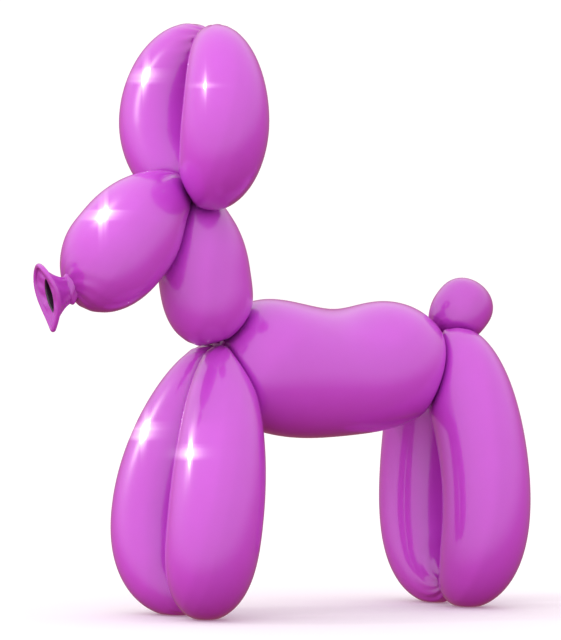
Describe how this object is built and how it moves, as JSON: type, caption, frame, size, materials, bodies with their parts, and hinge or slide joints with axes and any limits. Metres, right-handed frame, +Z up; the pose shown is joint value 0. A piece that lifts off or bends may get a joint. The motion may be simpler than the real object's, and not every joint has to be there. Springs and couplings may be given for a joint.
{
  "type": "balloon poodle",
  "caption": "Poodle twisted from a long latex modelling balloon, standing on its round feet, with the tied mouthpiece at its nose.",
  "frame": {"origin": "on the surface it stands on, under the middle of its length from mouthpiece to hind legs", "axes": "the dog faces -X, its left side is -Y, +Z up"},
  "size_m": [0.2948, 0.1182, 0.3304],
  "materials": {
    "latex": "gloss"
  },
  "bodies": {
    "root": {"twisted_balloon": "latex"}
  },
  "joints": []
}
